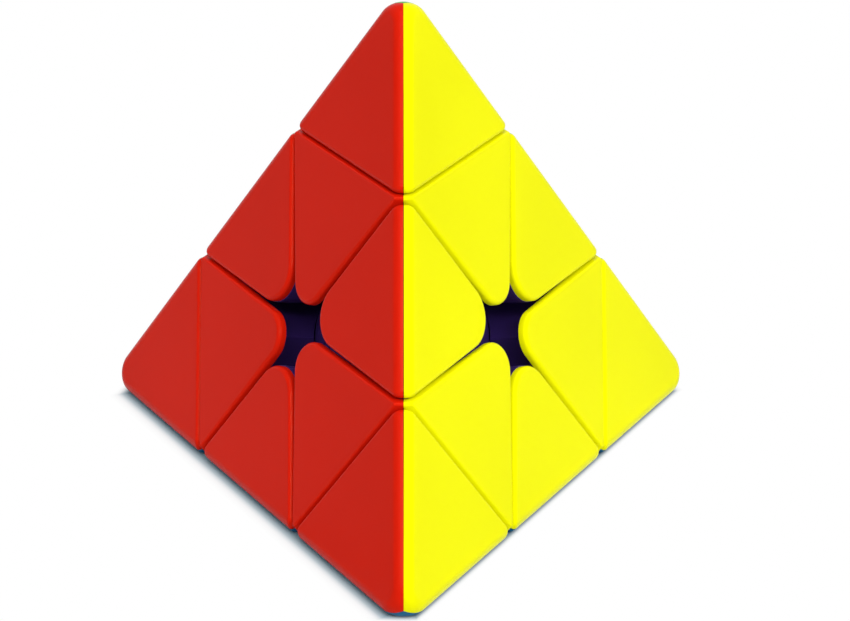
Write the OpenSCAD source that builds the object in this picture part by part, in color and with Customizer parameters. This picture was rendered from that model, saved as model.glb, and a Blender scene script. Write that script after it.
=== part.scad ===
// Pyramid twisty puzzle: a tetrahedron that turns on four axes.
// The origin is the middle of the core, where the four axes cross.
// +Z points to the top corner, and the front edge of the pyramid faces -Y.

/* [Pyramid] */
// Edge of the sharp pyramid that the four faces lie on
edge_len = 107.6; // [103:0.2:112]
// Distance from the middle to the cut under each layer
layer_cut = 7.5; // [7.3:0.1:7.9]
// Distance from the middle to the cut under each tip
tip_cut = 34.4; // [34:0.1:35.5]

/* [Gaps] */
// Gap between the bases on the two sides of a layer cut
layer_gap = 0.22; // [0.2:0.02:0.4]
// Gap between the bases on the two sides of a tip cut
tip_gap = 0.08; // [0.06:0.02:0.3]
// How far a cap's walls stand back from the walls of its base
cap_inset = 0.02; // [0:0.01:0.1]

/* [Caps] */
// Thickness of the caps on the axial and edge pieces
cap_t = 1.5; // [1.3:0.1:1.8]
// How far a tip's caps reach below the round of the pyramid's corner
apex_wall = 0.15; // [0.1:0.05:0.4]
// Radius of the pyramid's edges
crest_r = 2.2; // [1.9:0.1:2.5]
// Radius of the pyramid's corners, seen from the side
apex_r = 4.5; // [3.5:0.1:5.5]
// Radius of the rim on the tip caps
tip_rim_r = 0.85; // [0.5:0.05:1]
// Radius of the rim on the edge caps
edge_rim_r = 0.8; // [0.5:0.05:1]
// Radius of the rim on the axial caps
axial_rim_r = 0.8; // [0.5:0.05:1]
// Radius of the rim on the tip and edge caps where a cut meets the pyramid's edge
notch_r = 1; // [0.8:0.1:1.8]
// Radius of the narrow neck where an axial cap meets the pyramid's edge
neck_r = 0.4; // [0.3:0.1:1]
// Radius of the wall at the inner corner of an edge cap
edge_inner_r = 5.5; // [4:0.1:6]
// Radius of the wall at the inner corner of an axial cap
axial_inner_r = 4.4; // [3:0.1:5]
// Radius of the peg that locates a cap on an axial or edge base
peg_r = 1.6; // [1.2:0.1:2]
// Radius of the peg that locates a tip cap
tip_peg_r = 1; // [0.7:0.1:1.2]
// Length of the pegs below the cap
peg_len = 1.4; // [1:0.1:1.6]
// Clearance round a peg and under its end
peg_clear = 0.05; // [0.02:0.01:0.1]
// Wall between a tip cap's peg and the floor of the tip
peg_wall = 0.4; // [0.3:0.1:0.8]

/* [Bases] */
// How much tighter the inner corner of a base is than that of its cap
base_ledge = 0.1; // [0:0.05:0.3]
// How far the edges of a base are cut back under the joints of its caps
base_flat = 1; // [0.5:0.1:1.5]
// Wall of the sleeve that runs on a core post
sleeve_wall = 1.4; // [1:0.1:1.8]
// Outer radius of the ring-shaped hollow in an axial base
cup_r = 7.6; // [6.5:0.1:8]
// Floor under the hollow in an axial base
cup_floor = 5; // [4:0.5:7]

/* [Mechanism] */
// Radius of the core's ball
core_r = 10.3; // [9.8:0.1:10.6]
// Running clearance round the core's ball
core_clear = 0.3; // [0.2:0.05:0.5]
// How deep an edge base is rooted in its foot
foot_root = 1.6; // [1.3:0.1:1.8]
// Distance from the middle to the cut beside the feet
foot_cut = 5.3; // [5.2:0.05:5.6]

/* [Axles] */
// Radius of a core post
post_r = 3.2; // [2.8:0.1:3.5]
// Running clearance round a post
post_clear = 0.08; // [0.05:0.01:0.1]
// How far a post ends below the washer
post_end = 0.3; // [0.2:0.05:0.5]
// Floor of a tip, which the washer presses on
tip_floor = 2.2; // [1.8:0.1:2.6]
// Radius of the hollow in a tip
tip_hollow_r = 5; // [4.6:0.1:5.2]
// Radius of the upper part of the hollow, round the screw's head
tip_head_hollow_r = 3.9; // [3.7:0.1:4.2]
// Room under and over the screw's head in the tip
head_room = 0.6; // [0.5:0.1:1]
// Gap between the washer and the floor of the tip
seat_gap = 0.02; // [0.01:0.01:0.05]
// Thickness of a washer
washer_t = 0.6; // [0.4:0.1:0.8]
// Outer radius of a washer
washer_r = 4.4; // [4:0.1:4.5]
// Clearance of a washer round the screw
washer_clear = 0.2; // [0.1:0.05:0.3]
// Height of a spring in the stack
spring_h = 4.6; // [4.4:0.1:5]
// Radius of a spring to the middle of its wire
spring_r = 2.6; // [2.4:0.1:2.8]
// Thickness of the spring's wire
wire_d = 0.6; // [0.5:0.05:0.7]
// Turns in a spring
spring_turns = 3.5; // [3:0.5:3.5]
// Radius of the screw's shank
screw_r = 1.5; // [1.2:0.1:1.6]
// Clearance of the screw in its post
shank_clear = 0.05; // [0.02:0.01:0.1]
// Length of the shank below the head
screw_len = 20; // [16:1:24]
// Radius of the screw's head
head_r = 3.2; // [2.8:0.1:3.4]
// Height of the screw's head
head_h = 2; // [1.6:0.1:2.4]
// Radius of the six-sided socket in the screw's head, to its corners
socket_r = 1.6; // [1.2:0.1:1.8]

/* [Hidden] */
$fn = 64;
// Corners and the faces opposite them share an index
CORNERS = ["top", "front", "left", "right"];
COLOURS = ["blue", "green", "yellow", "red"];
PAINT = ["#1338a8", "#109a3c", "#f5ee12", "#c41a12"];
BASE_PAINT = "#35245f";
AZIMUTH = [0, -90, 150, 30];
EDGES = [for (i = [0:2]) for (j = [i + 1:3]) [i, j]];

height = edge_len * sqrt(2 / 3);
face_d = height / 4;
tilt = acos(-1 / 3);
arc_steps = 6;
rim_steps = 4;
base_round_steps = 10;
// How far pieces of one solid reach into each other, and how far a cut runs past its face
weld = 0.05;
overrun = 1;
tiny = 0.0001;

// The track that the feet of the edges slide in, round the ball and under the axial lips
track_in = core_r + core_clear;
track_out = (layer_cut + layer_gap / 2) * sqrt(3) + foot_root;

// The ball inside a rounded corner of the pyramid, and the depth of the corner's end below its faces
apex_ball_r = apex_r - crest_r;
apex_ball_z = 3 * (face_d - crest_r) - sqrt(3) * apex_ball_r;
tip_cap_t = face_d - (apex_ball_z + apex_r) / 3 + apex_wall;

// The stem that joins an axial base's lips to the part between the feet, clear of their track
stem_inset = 0.25;
stem_z = layer_cut + layer_gap / 2 + stem_inset;
stem_r = (foot_cut - layer_gap / 2 - stem_inset + stem_z / 3) / sin(tilt);

// Heights of the stack on each axle, from the middle of the core
floor_z = tip_cut + tip_gap / 2 + tip_floor;
washer_z = floor_z + seat_gap;
spring_z = washer_z + washer_t;
head_z = spring_z + spring_h;
post_root = core_r - post_r;
post_top = floor_z - post_end;
tip_step_z = head_z - head_room;
tip_top_z = head_z + head_h + head_room;
bore_r = post_r + post_clear;
shank_hole_r = screw_r + shank_clear;

// Heights of the pegs on the axis that they are named after
tip_peg_z = floor_z + tip_peg_r + peg_wall;
axial_peg_z = (layer_cut + tip_cut) / 2;
edge_peg_z = -face_d / 2;

function tip_name(i) = str("tip_", CORNERS[i]);
function axial_name(i) = str("axial_", CORNERS[i]);
function edge_name(e) = str("edge_", CORNERS[e[0]], "_", CORNERS[e[1]]);
function cap_name(piece, k) = str(piece, "_cap_", COLOURS[k]);
function others(used) = [for (k = [0:3]) if (len(search(k, used)) == 0) k];

// Vectors and planes. A plane is [outward normal, distance], and a piece lies behind its planes.
function unit(v) = v / norm(v);
function slerp(a, b, t) =
    let (angle = acos(a * b))
    (a * sin((1 - t) * angle) + b * sin(t * angle)) / sin(angle);
function ramp(steps) = [for (s = [0:steps]) s / steps];
function inset(p, d) = [p[0], p[1] - d];
function meet(a, b, c) =
    (a[1] * cross(b[0], c[0]) + b[1] * cross(c[0], a[0]) + c[1] * cross(a[0], b[0]))
    / (a[0] * cross(b[0], c[0]));
function outside(points, p) = [for (point = points) if (p[0] * point > p[1] - tiny) point];
function behind(point, planes) = min([for (p = planes) p[1] - p[0] * point]) > -tiny;
function crossing(a, b, c) = abs(a[0] * cross(b[0], c[0])) > tiny;
function block_corners(planes) =
    let (last = len(planes) - 1)
    [for (a = [0:last - 2]) for (b = [a + 1:last - 1]) for (c = [b + 1:last])
        if (crossing(planes[a], planes[b], planes[c]))
            let (point = meet(planes[a], planes[b], planes[c]))
            if (behind(point, planes)) point];

// The four axes, and the planes of the faces and cuts
function axis(i) = i == 0 ? [0, 0, 1]
    : [sin(tilt) * cos(AZIMUTH[i]), sin(tilt) * sin(AZIMUTH[i]), cos(tilt)];
function face(k, depth = 0) = [-axis(k), face_d - depth];
function above(i, d, gap) = [-axis(i), -(d + gap)];
function below(i, d, gap) = [axis(i), d - gap];
function mitre(k, l) = [unit(axis(k) - axis(l)), 0];
// The point of face k that lies over its own middle line at height z on axis i
function on_face(i, k, z) =
    let (out = unit(-axis(k) + axis(i) * (axis(k) * axis(i))))
    axis(i) * z + out * (face_d - z / 3) / sin(tilt);

// The middle line of the round that joins planes a and b
function round_foot(a, b, r) = meet(inset(a, r), inset(b, r), [unit(cross(a[0], b[0])), 0]);
// A point moved along a line on to a plane
function slide_to(point, u, p) = point + u * (p[1] - p[0] * point) / (p[0] * u);
// A round of radius r between planes a and b that turns over a rim on to plane c
function rim_corner(a, b, r, c, rim) =
    let (u = unit(cross(a[0], b[0])), foot = round_foot(a, b, r))
    [for (s = ramp(arc_steps))
        let (
            m = slerp(a[0], b[0], s),
            ball = slide_to(foot + (r - rim) * m, u, inset(c, rim))
        )
        for (w = ramp(rim_steps)) ball + rim * slerp(m, c[0], w)];
// The same round where it meets the plane p
function round_end(a, b, r, p) =
    let (u = unit(cross(a[0], b[0])), foot = round_foot(a, b, r))
    [for (s = ramp(arc_steps)) slide_to(foot + r * slerp(a[0], b[0], s), u, p)];
// How much of the arc from direction a to b round a ball lies outside plane p
function arc_share(ball, r, a, b, p) =
    let (
        side = unit(b - a * (a * b)),
        tilted = [p[0] * a, p[0] * side],
        reach = (p[1] - p[0] * ball) / (r * norm(tilted))
    )
    min(1, (atan2(tilted[1], tilted[0]) + acos(max(-1, reach))) / acos(a * b));
// Face k's half of the round along face l, where it turns over a growing rim and down a cut to plane p
function crest_end(k, l, cut, rim, p) =
    let (
        u = unit(cross(axis(k), axis(l))),
        foot = round_foot(face(k), face(l), crest_r)
    )
    [for (s = ramp(arc_steps))
        let (
            m = slerp(-axis(k), -axis(l), s / 2),
            r = rim + (notch_r - rim) * s,
            ball = slide_to(foot + (crest_r - r) * m, u, inset(cut, r)),
            share = arc_share(ball, r, m, cut[0], p),
            arc = [for (w = ramp(rim_steps)) ball + r * slerp(m, cut[0], w * share)],
            down = cross(cut[0], cross(cut[0], m))
        )
        each concat(arc, [slide_to(arc[rim_steps], down, p)])];
// A point near the round between faces k and l, moved in on to it if it stands out
function under_crest(point, k, l) =
    let (
        u = unit(cross(axis(k), axis(l))),
        foot = round_foot(face(k), face(l), crest_r),
        q = point - foot - u * (u * (point - foot)),
        to_edge = axis(k) * (axis(k) * axis(l)) - axis(l)
    )
    q * to_edge > 0 && norm(q) > crest_r ? point - q + unit(q) * crest_r : point;
// Face k's third of the rounded corner i
function apex_corner(i, k) =
    let (ends = [for (l = others([i, k])) unit(-axis(k) - axis(l))])
    [for (t = ramp(arc_steps))
        let (
            border = t < 1 / 2 ? slerp(ends[0], axis(i), 2 * t) : slerp(axis(i), ends[1], 2 * t - 1),
            flat = unit(border - axis(k) * (axis(k) * border))
        )
        for (w = ramp(arc_steps))
            let (
                m = slerp(-axis(k), border, w),
                over_face = -(axis(k) * m) * sqrt(3) > 1,
                ball = over_face ? flat * sqrt(2 / 3) - axis(k) / sqrt(3) : m
            )
            axis(i) * apex_ball_z + apex_ball_r * ball + crest_r * m];
// The flat that cuts back the edge between faces k and l of a base whose caps have thickness t
function crest_flat(k, l, t) = [unit(-axis(k) - axis(l)), (face_d - t) * sqrt(3) - base_flat];
// The crest flats round corner i
function corner_flats(i, t) = [for (j = others([i])) let (k = others([i, j])) crest_flat(k[0], k[1], t)];
// A plane turned upright on face k, through the same line of that face
function upright(p, k, through) =
    let (n = unit(p[0] - axis(k) * (axis(k) * p[0])))
    [n, n * through];
// Both cuts of a piece turned upright on face k, through the point where they meet at a depth
function upright_pair(cuts, k, depth) =
    let (through = meet(cuts[0], cuts[1], face(k, depth)))
    [for (c = cuts) upright(c, k, through)];
// Flat facets for the upright round between two walls
function round_planes(walls, r) =
    let (foot = round_foot(walls[0], walls[1], r))
    [for (s = [1:base_round_steps - 1])
        let (m = slerp(walls[0][0], walls[1][0], s / base_round_steps))
        [m, m * foot + r]];

module hull_of(points) {
    last = len(points) - 1;
    hull()
        polyhedron(points, [for (p = [0:3:last]) [p, min(p + 1, last), min(p + 2, last)]]);
}

module along(i) {
    if (i == 0) children();
    else rotate([0, tilt, AZIMUTH[i]]) children();
}

// A peg under a cap of thickness t on face k, at height z on axis i, or its hole when clear is not zero
module peg(i, k, z, t, r, clear) {
    seat = on_face(i, k, z) + axis(k) * (t + (peg_len + clear) / 2 - weld);
    translate(seat)
        along(k)
            cylinder(h = peg_len + clear + 2 * weld, r = r + clear, center = true);
}

module core() {
    color(BASE_PAINT)
        difference() {
            union() {
                rotate([90, 0, 0]) sphere(core_r);
                for (i = [0:3])
                    along(i)
                        translate([0, 0, post_root])
                            cylinder(h = post_top - post_root, r = post_r);
            }
            for (i = [0:3])
                along(i)
                    translate([0, 0, head_z - screw_len - overrun])
                        cylinder(h = screw_len + 2 * overrun, r = shank_hole_r);
        }
}

module axle_screws() {
    color("silver")
        for (i = [0:3])
            along(i)
                difference() {
                    union() {
                        translate([0, 0, head_z - screw_len]) cylinder(h = screw_len + weld, r = screw_r);
                        translate([0, 0, head_z]) cylinder(h = head_h, r = head_r);
                    }
                    translate([0, 0, head_z + head_h / 2]) cylinder(h = head_h, r = socket_r, $fn = 6);
                }
}

module axle_springs() {
    color("gainsboro")
        for (i = [0:3]) along(i) translate([0, 0, spring_z]) spring();
}

// One wire swept along a helix
module spring() {
    rings = ceil(8 * spring_turns);
    sides = 6;
    climb = spring_h - wire_d;
    points = [for (t = ramp(rings)) for (s = [0:sides - 1])
        let (
            turn = 360 * spring_turns * t,
            around = 360 * s / sides,
            reach = spring_r + wire_d / 2 * cos(around)
        )
        [reach * cos(turn), reach * sin(turn), wire_d / 2 * (1 + sin(around)) + climb * t]];
    faces = concat(
        [[for (s = [0:sides - 1]) s]],
        [for (n = [0:rings - 1]) for (s = [0:sides - 1]) for (half = [0, 1])
            let (a = n * sides + s, b = n * sides + (s + 1) % sides)
            half == 0 ? [a, a + sides, b] : [b, a + sides, b + sides]],
        [[for (s = [sides - 1:-1:0]) rings * sides + s]]
    );
    polyhedron(points, faces);
}

module axle_washers() {
    color("silver")
        for (i = [0:3])
            along(i)
                translate([0, 0, washer_z])
                    difference() {
                        cylinder(h = washer_t, r = washer_r);
                        translate([0, 0, -overrun])
                            cylinder(h = washer_t + 2 * overrun, r = screw_r + washer_clear);
                    }
}

module tip_base(i) {
    seats = [for (k = others([i])) face(k, tip_cap_t)];
    color(BASE_PAINT)
        difference() {
            hull_of(block_corners(concat(
                seats, corner_flats(i, tip_cap_t), [above(i, tip_cut, tip_gap / 2), [axis(i), tip_top_z]]
            )));
            along(i) {
                cylinder(h = floor_z + overrun, r = bore_r);
                translate([0, 0, floor_z]) cylinder(h = tip_step_z - floor_z, r = tip_hollow_r);
                translate([0, 0, floor_z]) cylinder(h = tip_top_z, r = tip_head_hollow_r);
            }
            for (k = others([i])) peg(i, k, tip_peg_z, tip_cap_t, tip_peg_r, peg_clear);
        }
}

module tip_cap(i, k) {
    cut = above(i, tip_cut, tip_gap / 2 + cap_inset);
    sides = others([i, k]);
    under = face(k, tip_cap_t);
    color(PAINT[k])
        union() {
            hull_of(concat(
                apex_corner(i, k),
                [for (l = sides) each crest_end(k, l, cut, tip_rim_r, under)],
                [meet(under, mitre(k, sides[0]), mitre(k, sides[1]))]
            ));
            peg(i, k, tip_peg_z, tip_cap_t, tip_peg_r, 0);
        }
}

module axial_base(i) {
    next = others([i]);
    gap = layer_gap / 2;
    rounds = [for (k = next)
        let (cuts = [for (j = others([i, k])) below(j, layer_cut, gap)])
        each round_planes(upright_pair(cuts, k, 0), axial_inner_r - base_ledge)];
    color(BASE_PAINT)
        difference() {
            union() {
                difference() {
                    hull_of(block_corners(concat(
                        [for (k = next) face(k, cap_t)],
                        [for (j = next) below(j, layer_cut, gap)],
                        [below(i, tip_cut, tip_gap / 2), above(i, layer_cut, gap)],
                        corner_flats(i, cap_t),
                        rounds
                    )));
                    rotate([90, 0, 0]) sphere(track_out + gap);
                }
                along(i)
                    translate([0, 0, stem_z])
                        cylinder(h = track_out + cup_floor / 2 - stem_z, r = stem_r);
                intersection() {
                    rotate([90, 0, 0]) sphere(track_out - gap);
                    hull_of(block_corners(concat(
                        [above(i, foot_cut, gap), below(i, track_out, 0)],
                        [for (j = next) below(j, foot_cut, gap)]
                    )));
                }
            }
            rotate([90, 0, 0]) sphere(track_in);
            along(i) {
                cylinder(h = tip_cut + overrun, r = bore_r);
                translate([0, 0, track_out + gap + cup_floor]) cup();
            }
            for (k = next) peg(i, k, axial_peg_z, cap_t, peg_r, peg_clear);
        }
}

// The ring-shaped hollow round an axial base's sleeve, open under the tip
module cup() {
    difference() {
        cylinder(h = tip_cut, r = cup_r);
        translate([0, 0, -overrun]) cylinder(h = tip_cut + 2 * overrun, r = bore_r + sleeve_wall);
    }
}

module axial_cap(i, k) {
    back = layer_gap / 2 + cap_inset;
    tip_side = below(i, tip_cut, tip_gap / 2 + cap_inset);
    sides = others([i, k]);
    cuts = [for (j = sides) below(j, layer_cut, back)];
    walls = upright_pair(cuts, k, 0);
    under = face(k, cap_t);
    color(PAINT[k])
        union() {
            hull_of(outside(concat(
                rim_corner(walls[0], walls[1], axial_inner_r, face(k), axial_rim_r),
                round_end(walls[0], walls[1], axial_inner_r, under),
                [for (n = [0, 1])
                    let (
                        l = sides[1 - n],
                        neck = concat(
                            rim_corner(tip_side, cuts[n], neck_r, face(k), neck_r),
                            round_end(tip_side, cuts[n], neck_r, mitre(k, l))
                        )
                    )
                    each [for (point = neck) under_crest(point, k, l)]],
                [for (n = [0, 1]) for (c = [tip_side, cuts[n]]) meet(under, mitre(k, sides[1 - n]), c)]
            ), under));
            for (n = [0, 1]) neck_root(k, sides[1 - n], [tip_side, cuts[n]]);
            peg(i, k, axial_peg_z, cap_t, peg_r, 0);
        }
}

// The part of an axial cap that fills the neck down to the flat of the base, between two planes
module neck_root(k, l, ends) {
    top = face(k, cap_t - weld);
    flat = crest_flat(k, l, cap_t);
    joint = inset(mitre(k, l), weld);
    hull_of([for (c = ends)
        let (end = inset(c, weld))
        each [meet(top, joint, end), meet(flat, joint, end), meet(flat, top, end)]]);
}

module edge_base(e) {
    gap = layer_gap / 2;
    cuts = [for (i = e) above(i, layer_cut, gap)];
    faces = others(e);
    out = unit(axis(e[0]) + axis(e[1]));
    foot = [for (i = e) above(i, foot_cut, gap)];
    color(BASE_PAINT)
        difference() {
            union() {
                hull_of(block_corners(concat(
                    cuts,
                    [for (k = faces) face(k, cap_t)],
                    [crest_flat(faces[0], faces[1], cap_t)],
                    [for (k = faces) each
                        round_planes(upright_pair(cuts, k, cap_t), edge_inner_r - base_ledge)]
                )));
                intersection() {
                    rotate([90, 0, 0]) sphere(track_out - gap);
                    hull_of(block_corners(concat(
                        foot, [[out, track_out]], [for (k = faces) face(k, cap_t)]
                    )));
                }
            }
            rotate([90, 0, 0]) sphere(track_in);
            for (n = [0, 1]) peg(faces[1 - n], faces[n], edge_peg_z, cap_t, peg_r, peg_clear);
        }
}

module edge_cap(e, k) {
    back = layer_gap / 2 + cap_inset;
    cuts = [for (i = e) above(i, layer_cut, back)];
    walls = upright_pair(cuts, k, cap_t);
    l = others(concat(e, [k]))[0];
    under = face(k, cap_t);
    color(PAINT[k])
        union() {
            hull_of(concat(
                rim_corner(walls[0], walls[1], edge_inner_r, face(k), edge_rim_r),
                round_end(walls[0], walls[1], edge_inner_r, under),
                [for (c = cuts) each crest_end(k, l, c, edge_rim_r, under)]
            ));
            peg(l, k, edge_peg_z, cap_t, peg_r, 0);
        }
}

core();
axle_screws();
axle_springs();
axle_washers();
for (i = [0:3]) {
    tip_base(i);
    axial_base(i);
    for (k = others([i])) {
        tip_cap(i, k);
        axial_cap(i, k);
    }
}
for (e = EDGES) {
    edge_base(e);
    for (k = others(e))
        edge_cap(e, k);
}
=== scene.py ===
"""Looks of a pyramid twisty puzzle, built round its solids.

Each cap gets a finer shell of the same sizes, worked out in millimetres until its mesh is made.
"""

import math

import bmesh
import bpy
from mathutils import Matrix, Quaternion, Vector


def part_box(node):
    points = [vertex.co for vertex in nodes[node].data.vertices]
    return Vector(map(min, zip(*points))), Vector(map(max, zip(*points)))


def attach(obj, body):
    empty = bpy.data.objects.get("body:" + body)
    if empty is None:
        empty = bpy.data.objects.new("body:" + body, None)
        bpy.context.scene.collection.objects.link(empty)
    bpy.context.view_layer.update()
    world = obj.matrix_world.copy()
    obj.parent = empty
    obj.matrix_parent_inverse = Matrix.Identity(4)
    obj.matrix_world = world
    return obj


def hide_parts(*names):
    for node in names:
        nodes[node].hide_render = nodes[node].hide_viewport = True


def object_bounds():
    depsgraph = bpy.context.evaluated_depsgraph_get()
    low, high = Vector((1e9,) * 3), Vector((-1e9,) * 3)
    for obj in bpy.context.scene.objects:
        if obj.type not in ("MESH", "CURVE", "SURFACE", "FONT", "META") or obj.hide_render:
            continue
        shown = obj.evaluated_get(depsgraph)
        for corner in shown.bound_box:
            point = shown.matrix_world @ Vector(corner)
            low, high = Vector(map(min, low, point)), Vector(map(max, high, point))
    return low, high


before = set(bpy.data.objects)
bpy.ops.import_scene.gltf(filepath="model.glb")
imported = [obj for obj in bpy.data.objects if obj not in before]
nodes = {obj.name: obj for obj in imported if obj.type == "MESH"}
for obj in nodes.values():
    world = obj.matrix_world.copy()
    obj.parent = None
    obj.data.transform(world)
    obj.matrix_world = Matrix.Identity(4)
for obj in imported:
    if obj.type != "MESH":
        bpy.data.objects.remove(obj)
cad_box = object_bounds()
MM = 0.001

# Sizes of the caps, the same as those of the solids that they stand for
FACE_D = -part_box("tip_front_cap_blue")[0].z / MM
LAYER_CUT = 7.5
TIP_CUT = 34.4
LAYER_GAP = 0.22
TIP_GAP = 0.08
CAP_INSET = 0.02
CAP_T = 1.5
APEX_WALL = 0.15
CREST_R = 2.2
APEX_R = 4.5
APEX_BALL_R = APEX_R - CREST_R
APEX_BALL_Z = 3 * (FACE_D - CREST_R) - math.sqrt(3) * APEX_BALL_R
TIP_CAP_T = FACE_D - (APEX_BALL_Z + APEX_R) / 3 + APEX_WALL
TIP_RIM_R = 0.85
EDGE_RIM_R = 0.8
AXIAL_RIM_R = 0.8
NOTCH_R = 1.0
NECK_R = 0.4
EDGE_INNER_R = 5.5
AXIAL_INNER_R = 4.4
BASE_FLAT = 1.0
WELD = 0.05

# How much of the round along the pyramid's edge belongs to each cap: a hairline is left between the two
JOINT_SHARE = 0.49
ARC_STEPS = 16
RIM_STEPS = 8
SAME_PLANE = 0.0001
SAME_POINT = 0.001
FLAT_ANGLE = math.radians(0.4)
SHARP_ANGLE = math.radians(35)

# Corners and the faces opposite them share an index
CORNERS = ("top", "front", "left", "right")
COLOURS = ("blue", "green", "yellow", "red")
AZIMUTH = (0, -90, 150, 30)
TILT = math.acos(-1 / 3)
EDGES = [(i, j) for i in range(4) for j in range(i + 1, 4)]

# The photograph's camera, as an angle and a distance from the middle of the puzzle
PHOTO_W, PHOTO_H = 850, 621
CAMERA_AZIMUTH = -0.42
CAMERA_ELEVATION = 25.10
CAMERA_ROLL = 0.23
CAMERA_DISTANCE = 0.5622
CAMERA_SENSOR = 36.0
FOCAL_PX = 3346.5
MIDDLE_PX = (402.05, 340.7)


def axis(i):
    """The turning axis that runs out through corner i."""
    if i == 0:
        return Vector((0, 0, 1))
    turn = math.radians(AZIMUTH[i])
    return Vector((math.sin(TILT) * math.cos(turn), math.sin(TILT) * math.sin(turn), math.cos(TILT)))


def others(used):
    """The corners or faces that aren't used."""
    return [k for k in range(4) if k not in used]


# Planes are (outward normal, distance), and a piece lies behind its planes
def face(k, depth=0.0):
    """Face k of the pyramid, or the plane at a depth under it."""
    return -axis(k), FACE_D - depth


def above(i, distance, gap):
    """The lower side of a piece over a cut across axis i."""
    return -axis(i), -(distance + gap)


def below(i, distance, gap):
    """The upper side of a piece under a cut across axis i."""
    return axis(i), distance - gap


def mitre(k, l):
    """The joint between the caps of faces k and l."""
    return (axis(k) - axis(l)).normalized(), 0.0


def inset(plane, depth):
    """The plane moved in by a depth."""
    return plane[0], plane[1] - depth


def meet(a, b, c):
    """The point where three planes cross."""
    bc, ca, ab = b[0].cross(c[0]), c[0].cross(a[0]), a[0].cross(b[0])
    return (a[1] * bc + b[1] * ca + c[1] * ab) / a[0].dot(bc)


def slerp(a, b, t):
    """The direction at share t of the turn from a to b."""
    angle = a.angle(b)
    return (a * math.sin((1 - t) * angle) + b * math.sin(t * angle)) / math.sin(angle)


def ramp(steps):
    """Even shares from 0 to 1."""
    return [s / steps for s in range(steps + 1)]


def slide_to(point, along, plane):
    """The point moved along a line on to a plane."""
    return point + along * (plane[1] - plane[0].dot(point)) / plane[0].dot(along)


def round_foot(a, b, radius):
    """The line that the round between planes a and b turns about: a direction and a point."""
    along = a[0].cross(b[0]).normalized()
    return along, meet(inset(a, radius), inset(b, radius), (along, 0.0))


def rim_corner(a, b, radius, top, rim):
    """Points of a round between planes a and b that turns over a rim on to the plane top."""
    along, foot = round_foot(a, b, radius)
    points = []
    for s in ramp(ARC_STEPS):
        out = slerp(a[0], b[0], s)
        ball = slide_to(foot + (radius - rim) * out, along, inset(top, rim))
        points += [ball + rim * slerp(out, top[0], w) for w in ramp(RIM_STEPS)]
    return points


def arc_share(ball, radius, a, b, plane):
    """How much of the arc from direction a to b round a ball lies outside a plane."""
    side = (b - a * a.dot(b)).normalized()
    x, y = plane[0].dot(a), plane[0].dot(side)
    reach = (plane[1] - plane[0].dot(ball)) / (radius * math.hypot(x, y))
    return min(1, (math.atan2(y, x) + math.acos(max(-1, reach))) / a.angle(b))


def crest_end(k, l, cut, rim, under):
    """Face k's half of the round along face l, turned over a growing rim and down a cut."""
    along, foot = round_foot(face(k), face(l), CREST_R)
    points = []
    for s in ramp(ARC_STEPS):
        out = slerp(-axis(k), -axis(l), s * JOINT_SHARE)
        radius = rim + (NOTCH_R - rim) * s
        ball = slide_to(foot + (CREST_R - radius) * out, along, inset(cut, radius))
        share = arc_share(ball, radius, out, cut[0], under)
        points += [ball + radius * slerp(out, cut[0], w * share) for w in ramp(RIM_STEPS)]
        points.append(slide_to(points[-1], cut[0].cross(cut[0].cross(out)), under))
    return points


def under_crest(point, k, l):
    """The point moved in on to the round between faces k and l if it stands out of it."""
    along, foot = round_foot(face(k), face(l), CREST_R)
    reach = point - foot
    reach -= along * along.dot(reach)
    to_edge = axis(k) * axis(k).dot(axis(l)) - axis(l)
    if reach.dot(to_edge) <= 0 or reach.length <= CREST_R:
        return point
    return point - reach + reach.normalized() * CREST_R


def apex_corner(i, k):
    """Face k's third of the rounded corner i."""
    ends = [(-axis(k) - axis(l)).normalized() for l in others([i, k])]
    borders = [slerp(ends[0], axis(i), t) for t in ramp(ARC_STEPS)]
    borders += [slerp(axis(i), ends[1], t) for t in ramp(ARC_STEPS)]
    points = []
    for border in borders:
        flat = (border - axis(k) * axis(k).dot(border)).normalized()
        for w in ramp(ARC_STEPS):
            out = slerp(-axis(k), border, w)
            over_face = -axis(k).dot(out) * math.sqrt(3) > 1
            ball = flat * math.sqrt(2 / 3) - axis(k) / math.sqrt(3) if over_face else out
            points.append(axis(i) * APEX_BALL_Z + APEX_BALL_R * ball + CREST_R * out)
    return points


def round_end(a, b, radius, plane):
    """Points where the round between planes a and b meets a plane."""
    along, foot = round_foot(a, b, radius)
    return [slide_to(foot + radius * slerp(a[0], b[0], s), along, plane) for s in ramp(ARC_STEPS)]


def upright_pair(cuts, k, depth):
    """Both cuts turned upright on face k, through the point where they meet at a depth."""
    through = meet(*cuts, face(k, depth))
    outs = [(cut[0] - axis(k) * axis(k).dot(cut[0])).normalized() for cut in cuts]
    return [(out, out.dot(through)) for out in outs]


def outside(points, plane):
    """The points that lie on a plane or in front of it."""
    return [point for point in points if plane[0].dot(point) > plane[1] - SAME_PLANE]


def tip_cap(i, k):
    """The hulls of the cap on face k of the tip at corner i."""
    cut = above(i, TIP_CUT, TIP_GAP / 2 + CAP_INSET)
    under = face(k, TIP_CAP_T)
    sides = others([i, k])
    points = apex_corner(i, k)
    for l in sides:
        points += crest_end(k, l, cut, TIP_RIM_R, under)
    points.append(meet(under, mitre(k, sides[0]), mitre(k, sides[1])))
    return [points]


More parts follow.
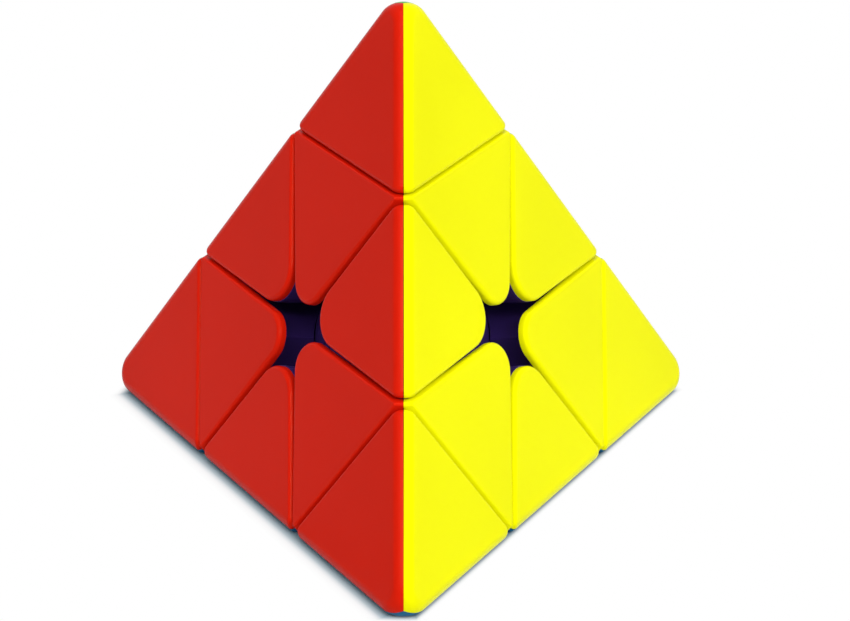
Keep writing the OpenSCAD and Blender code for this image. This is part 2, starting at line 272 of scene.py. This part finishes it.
def axial_cap(i, k):
    """The hulls of the cap on face k of the axial piece at corner i."""
    tip_side = below(i, TIP_CUT, TIP_GAP / 2 + CAP_INSET)
    sides = others([i, k])
    cuts = [below(j, LAYER_CUT, LAYER_GAP / 2 + CAP_INSET) for j in sides]
    walls = upright_pair(cuts, k, 0)
    under = face(k, CAP_T)
    points = rim_corner(*walls, AXIAL_INNER_R, face(k), AXIAL_RIM_R)
    points += round_end(*walls, AXIAL_INNER_R, under)
    for cut, l in zip(cuts, reversed(sides)):
        neck = rim_corner(tip_side, cut, NECK_R, face(k), NECK_R)
        neck += round_end(tip_side, cut, NECK_R, mitre(k, l))
        points += [under_crest(point, k, l) for point in neck]
        points += [meet(under, mitre(k, l), tip_side), meet(under, mitre(k, l), cut)]
    roots = [neck_root(k, l, (tip_side, cut)) for cut, l in zip(cuts, reversed(sides))]
    return [outside(points, under), *roots]


def neck_root(k, l, ends):
    """The part of an axial cap that fills its neck down to the flat of the base."""
    top = face(k, CAP_T - WELD)
    flat = (-axis(k) - axis(l)).normalized(), (FACE_D - CAP_T) * math.sqrt(3) - BASE_FLAT
    joint = inset(mitre(k, l), WELD)
    points = []
    for end in (inset(plane, WELD) for plane in ends):
        points += [meet(top, joint, end), meet(flat, joint, end), meet(flat, top, end)]
    return points


def edge_cap(e, k):
    """The hulls of the cap on face k of the edge piece between the corners e."""
    cuts = [above(i, LAYER_CUT, LAYER_GAP / 2 + CAP_INSET) for i in e]
    l = others([*e, k])[0]
    under = face(k, CAP_T)
    walls = upright_pair(cuts, k, CAP_T)
    points = rim_corner(*walls, EDGE_INNER_R, face(k), EDGE_RIM_R)
    points += round_end(*walls, EDGE_INNER_R, under)
    for cut in cuts:
        points += crest_end(k, l, cut, EDGE_RIM_R, under)
    return [points]


def add_hull(mesh, points):
    """A closed hull round the points added to a mesh, with its flats kept flat."""
    form = bmesh.new()
    for point in points:
        form.verts.new(point)
    bmesh.ops.remove_doubles(form, verts=form.verts, dist=SAME_POINT)
    hull = bmesh.ops.convex_hull(form, input=form.verts)
    unused = hull["geom_interior"] + hull["geom_unused"]
    spare = {part for part in unused if isinstance(part, bmesh.types.BMVert)}
    bmesh.ops.delete(form, geom=list(spare), context="VERTS")
    bmesh.ops.dissolve_limit(form, angle_limit=FLAT_ANGLE, verts=form.verts, edges=form.edges)
    bmesh.ops.recalc_face_normals(form, faces=form.faces)
    bmesh.ops.scale(form, vec=(MM, MM, MM), verts=form.verts)
    form.from_mesh(mesh)
    form.to_mesh(mesh)
    form.free()


def hull_object(name, hulls, material):
    """A smooth piece made of closed hulls, each given by its points."""
    mesh = bpy.data.meshes.new(name)
    for points in hulls:
        add_hull(mesh, points)
    mesh.shade_smooth()
    mesh.set_sharp_from_angle(angle=SHARP_ANGLE)
    mesh.materials.append(material)
    piece = bpy.data.objects.new(name, mesh)
    bpy.context.scene.collection.objects.link(piece)
    weighted = piece.modifiers.new("flat_faces", "WEIGHTED_NORMAL")
    weighted.keep_sharp = True
    return piece


# Materials: most of a noise lies between these two values
NOISE_LOW, NOISE_HIGH = 0.3, 0.7

# Each noise is a number of features to the metre and a level of detail
SHADE_NOISE = (30, 1)
GLOSS_NOISE = (45, 1)
GRAIN_NOISE = (2600, 2)
STEEL_SHADE_NOISE = (400, 4)
STEEL_GLOSS_NOISE = (900, 3)

# Depths are in metres, and colours are red, green and blue
GRAIN_DEPTH = 0.00002
LIGHT_DEPTH = 0.0008
SHADE_SHARES = (0.97, 1.03)
CAP_COLOURS = {
    "red": (0.595, 0.010, 0.002),
    "yellow": (0.795, 0.775, 0.001),
    "blue": (0.008, 0.11, 0.23),
    "green": (0.010, 0.40, 0.06),
}
CAP_GLINTS = {
    "red": (1, 0.9, 0.5),
    "yellow": (1, 0.95, 0.05),
    "blue": (0.7, 0.9, 1),
    "green": (0.7, 1, 0.8),
}
CAP_ROUGHNESS = (0.22, 0.26)
CAP_SPECULAR = 0.05
CAP_GRAIN = 0.01
CAP_DEPTH_SHARE = 0.25
BASE_COLOUR = (0.031, 0.0145, 0.11)
BASE_ROUGHNESS = (0.38, 0.46)
BASE_SPECULAR = 0.12
BASE_GRAIN = 0.04
STEEL_COLOURS = ((0.50, 0.50, 0.48), (0.66, 0.66, 0.64))
STEEL_ROUGHNESS = (0.24, 0.38)


def new_material(name):
    """A material with its node tree and its shader."""
    material = bpy.data.materials.new(name)
    material.use_nodes = True
    tree = material.node_tree
    return material, tree, tree.nodes["Principled BSDF"]


def noise(tree, scale, detail):
    """A noise in the piece's own coordinates."""
    place = tree.nodes.new("ShaderNodeTexCoord")
    texture = tree.nodes.new("ShaderNodeTexNoise")
    texture.inputs["Scale"].default_value = scale
    texture.inputs["Detail"].default_value = detail
    tree.links.new(place.outputs["Object"], texture.inputs["Vector"])
    return texture.outputs["Fac"]


def spread(tree, value, low, high):
    """A noise value spread over a range."""
    node = tree.nodes.new("ShaderNodeMapRange")
    node.inputs["From Min"].default_value = NOISE_LOW
    node.inputs["From Max"].default_value = NOISE_HIGH
    node.inputs["To Min"].default_value = low
    node.inputs["To Max"].default_value = high
    tree.links.new(value, node.inputs["Value"])
    return node.outputs["Result"]


def tint(tree, value, low, high):
    """A value turned into a colour between two."""
    node = tree.nodes.new("ShaderNodeValToRGB")
    ends = zip(node.color_ramp.elements, (NOISE_LOW, NOISE_HIGH), (low, high))
    for element, position, colour in ends:
        element.position = position
        element.color = (*colour, 1)
    tree.links.new(value, node.inputs["Fac"])
    return node.outputs["Color"]


def bump(tree, value, strength, distance):
    """A fine relief on the surface."""
    node = tree.nodes.new("ShaderNodeBump")
    node.inputs["Strength"].default_value = strength
    node.inputs["Distance"].default_value = distance
    tree.links.new(value, node.inputs["Height"])
    return node.outputs["Normal"]


def moulded_plastic(name, colour, roughness, specular, grain, glint=(1, 1, 1), depth_share=0.0):
    """Plastic coloured all through, with faint flow marks and the fine grain of its mould."""
    material, tree, shader = new_material(name)
    shades = [[channel * share for channel in colour] for share in SHADE_SHARES]
    relief = bump(tree, noise(tree, *GRAIN_NOISE), grain, GRAIN_DEPTH)
    tree.links.new(tint(tree, noise(tree, *SHADE_NOISE), *shades), shader.inputs["Base Color"])
    tree.links.new(spread(tree, noise(tree, *GLOSS_NOISE), *roughness), shader.inputs["Roughness"])
    tree.links.new(relief, shader.inputs["Normal"])
    shader.inputs["Specular IOR Level"].default_value = specular
    shader.inputs["Specular Tint"].default_value = (*glint, 1)
    shader.inputs["Subsurface Weight"].default_value = depth_share
    shader.inputs["Subsurface Radius"].default_value = (1, 1, 1)
    shader.inputs["Subsurface Scale"].default_value = LIGHT_DEPTH
    return material


def plated_steel(name):
    """Bright zinc plate with a fine drawn grain."""
    material, tree, shader = new_material(name)
    shade = tint(tree, noise(tree, *STEEL_SHADE_NOISE), *STEEL_COLOURS)
    gloss = spread(tree, noise(tree, *STEEL_GLOSS_NOISE), *STEEL_ROUGHNESS)
    tree.links.new(shade, shader.inputs["Base Color"])
    tree.links.new(gloss, shader.inputs["Roughness"])
    shader.inputs["Metallic"].default_value = 1.0
    return material


caps_material = {
    name: moulded_plastic(
        f"{name}_cap_plastic", colour, CAP_ROUGHNESS, CAP_SPECULAR, CAP_GRAIN,
        glint=CAP_GLINTS[name], depth_share=CAP_DEPTH_SHARE,
    )
    for name, colour in CAP_COLOURS.items()
}
base_material = moulded_plastic(
    "purple_base_plastic", BASE_COLOUR, BASE_ROUGHNESS, BASE_SPECULAR, BASE_GRAIN
)
steel_material = plated_steel("zinc_plated_steel")


def dress(name, body, k, hulls):
    """A cap in place of its plain solid, riding on the same body."""
    node = f"{name}_cap_{COLOURS[k]}"
    piece = hull_object(f"{node}_shell", hulls, caps_material[COLOURS[k]])
    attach(piece, body)
    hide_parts(node)


for i in range(4):
    for k in others([i]):
        dress(f"tip_{CORNERS[i]}", f"{CORNERS[i]}_tip", k, tip_cap(i, k))
        dress(f"axial_{CORNERS[i]}", f"{CORNERS[i]}_axial", k, axial_cap(i, k))
for e in EDGES:
    for k in others(e):
        name = f"edge_{CORNERS[e[0]]}_{CORNERS[e[1]]}"
        dress(name, name, k, edge_cap(e, k))

for name, node in nodes.items():
    if "_cap_" in name:
        continue
    node.data.materials.clear()
    node.data.materials.append(steel_material if name.startswith("axle_") else base_material)

# Floor, light and camera
FLOOR_SIZE = 1.0
FLOOR_COLOUR = (0.69, 0.73, 0.75)
FLOOR_Z = cad_box[0][2]

# Beside the puzzle the floor is painted darker and bluer: a painted contact shadow with painted blue
# bounce light in it. This is from where to where that painted shade fades, from the middle out to the
# corners and to the side opposite each corner.
PAINTED_CONTACT_SHADOW_COLOUR = (0.24, 0.36, 0.42)
FADE_CORNERS = (0.0540, 0.0570)
FADE_SIDES = {1: (0.0290, 0.0320), 2: (0.0286, 0.0304), 3: (0.0288, 0.0332)}

WORLD_LEVEL = 0.22
LIGHT_DISTANCE = 1.5
# Azimuth and elevation in degrees, level, and width and height in metres
SOFTBOXES = {
    "key_light": (38, 34, 0.52, 0.9, 0.9),
    "fill_light": (-40, 38, 0.12, 1.0, 1.0),
    "top_light": (0, 80, 0.40, 1.2, 1.2),
    "front_light": (0, 45, 0.46, 1.5, 0.30),
}


def join(tree, operation, first, second):
    """One number out of two."""
    node = tree.nodes.new("ShaderNodeMath")
    node.operation = operation
    for value, socket in zip((first, second), node.inputs):
        tree.links.new(value, socket)
    return node.outputs["Value"]


def background_ray(tree):
    """1 where a ray shows the background: to the camera, in a mirror or through glass."""
    path = tree.nodes.new("ShaderNodeLightPath")
    seen = path.outputs["Is Camera Ray"]
    for kind in ("Is Glossy Ray", "Is Transmission Ray"):
        seen = join(tree, "MAXIMUM", seen, path.outputs[kind])
    return seen


def vector_math(tree, operation, vector, output, other=None):
    """A vector changed or measured, by itself or with another."""
    node = tree.nodes.new("ShaderNodeVectorMath")
    node.operation = operation
    tree.links.new(vector, node.inputs[0])
    if other is not None:
        node.inputs[1].default_value = other
    return node.outputs[output]


def rise(tree, value, start, end):
    """0 up to the start and 1 from the end on."""
    node = tree.nodes.new("ShaderNodeMapRange")
    node.interpolation_type = "SMOOTHSTEP"
    node.inputs["From Min"].default_value = start
    node.inputs["From Max"].default_value = end
    tree.links.new(value, node.inputs["Value"])
    return node.outputs["Result"]


def far_from_puzzle(tree):
    """0 beside the puzzle, where the floor keeps its shadow and gets its painted shade, and 1 farther
    out.
    """
    place = tree.nodes.new("ShaderNodeNewGeometry").outputs["Position"]
    place = vector_math(tree, "SUBTRACT", place, "Vector", (0, 0, FLOOR_Z))
    far = rise(tree, vector_math(tree, "LENGTH", place, "Value"), *FADE_CORNERS)
    for i, fade in FADE_SIDES.items():
        turn = math.radians(AZIMUTH[i])
        out = (-math.cos(turn), -math.sin(turn), 0)
        side = rise(tree, vector_math(tree, "DOT_PRODUCT", place, "Value", out), *fade)
        far = join(tree, "MAXIMUM", far, side)
    return far


def add_floor():
    """A pale floor that takes the shadow, with painted shade beside the puzzle, and is the white
    background farther out.
    """
    half = FLOOR_SIZE / 2
    mesh = bpy.data.meshes.new("floor")
    mesh.from_pydata(
        [(x, y, FLOOR_Z) for x, y in ((-half, -half), (half, -half), (half, half), (-half, half))],
        [], [(0, 1, 2, 3)],
    )
    floor = bpy.data.objects.new("floor", mesh)
    bpy.context.scene.collection.objects.link(floor)
    material, tree, shader = new_material("pale_floor")
    far = far_from_puzzle(tree)
    # Painted contact shadow: the floor's colour turns darker and bluer beside the puzzle, where far is
    # 0
    tree.links.new(tint(tree, far, PAINTED_CONTACT_SHADOW_COLOUR, FLOOR_COLOUR), shader.inputs["Base Color"])
    shader.inputs["Roughness"].default_value = 1.0
    shader.inputs["Specular IOR Level"].default_value = 0.0
    white = tree.nodes.new("ShaderNodeEmission")
    white.inputs["Color"].default_value = (1, 1, 1, 1)
    white.inputs["Strength"].default_value = 1.0
    shown = tree.nodes.new("ShaderNodeMixShader")
    tree.links.new(join(tree, "MULTIPLY", far, background_ray(tree)), shown.inputs[0])
    tree.links.new(shader.outputs["BSDF"], shown.inputs[1])
    tree.links.new(white.outputs["Emission"], shown.inputs[2])
    tree.links.new(shown.outputs["Shader"], tree.nodes["Material Output"].inputs["Surface"])
    mesh.materials.append(material)


def direction(azimuth, elevation):
    """A direction from the middle of the puzzle; azimuth 0 is the front and grows to the right."""
    a, e = math.radians(azimuth), math.radians(elevation)
    return Vector((math.sin(a) * math.cos(e), -math.cos(a) * math.cos(e), math.sin(e)))


def aim(thing, place, roll=0.0):
    """Put a light or a camera in its place, turned to the middle of the puzzle."""
    thing.location = place
    thing.rotation_mode = "QUATERNION"
    spin = Quaternion((0, 0, 1), math.radians(roll))
    thing.rotation_quaternion = (-place).to_track_quat("-Z", "Y") @ spin


def add_softbox(name, azimuth, elevation, level, width, height):
    """A light whose level is the brightness that it gives a white card held up to it."""
    lamp = bpy.data.lights.new(name, "AREA")
    lamp.shape = "RECTANGLE"
    lamp.size = width
    lamp.size_y = height
    lamp.energy = level * (math.pi * LIGHT_DISTANCE) ** 2
    light = bpy.data.objects.new(name, lamp)
    bpy.context.scene.collection.objects.link(light)
    aim(light, direction(azimuth, elevation) * LIGHT_DISTANCE)


def add_camera():
    """The photograph's camera, with the middle of the puzzle off the middle of the picture."""
    data = bpy.data.cameras.new("photo_camera")
    data.sensor_width = CAMERA_SENSOR
    data.lens = FOCAL_PX * CAMERA_SENSOR / PHOTO_W
    data.shift_x = (PHOTO_W / 2 - MIDDLE_PX[0]) / PHOTO_W
    data.shift_y = (MIDDLE_PX[1] - PHOTO_H / 2) / PHOTO_W
    camera = bpy.data.objects.new("photo_camera", data)
    bpy.context.scene.collection.objects.link(camera)
    aim(camera, direction(CAMERA_AZIMUTH, CAMERA_ELEVATION) * CAMERA_DISTANCE, CAMERA_ROLL)
    bpy.context.scene.camera = camera


def add_world():
    """A dim room with a white backdrop."""
    world = bpy.data.worlds.new("studio")
    world.use_nodes = True
    tree = world.node_tree
    level = tree.nodes.new("ShaderNodeMath")
    level.operation = "MAXIMUM"
    level.inputs[1].default_value = WORLD_LEVEL
    tree.links.new(background_ray(tree), level.inputs[0])
    background = tree.nodes["Background"]
    background.inputs["Color"].default_value = (1, 1, 1, 1)
    tree.links.new(level.outputs["Value"], background.inputs["Strength"])
    bpy.context.scene.world = world


add_floor()
add_world()
for name, values in SOFTBOXES.items():
    add_softbox(name, *values)
add_camera()
bpy.context.scene.view_settings.view_transform = "Standard"
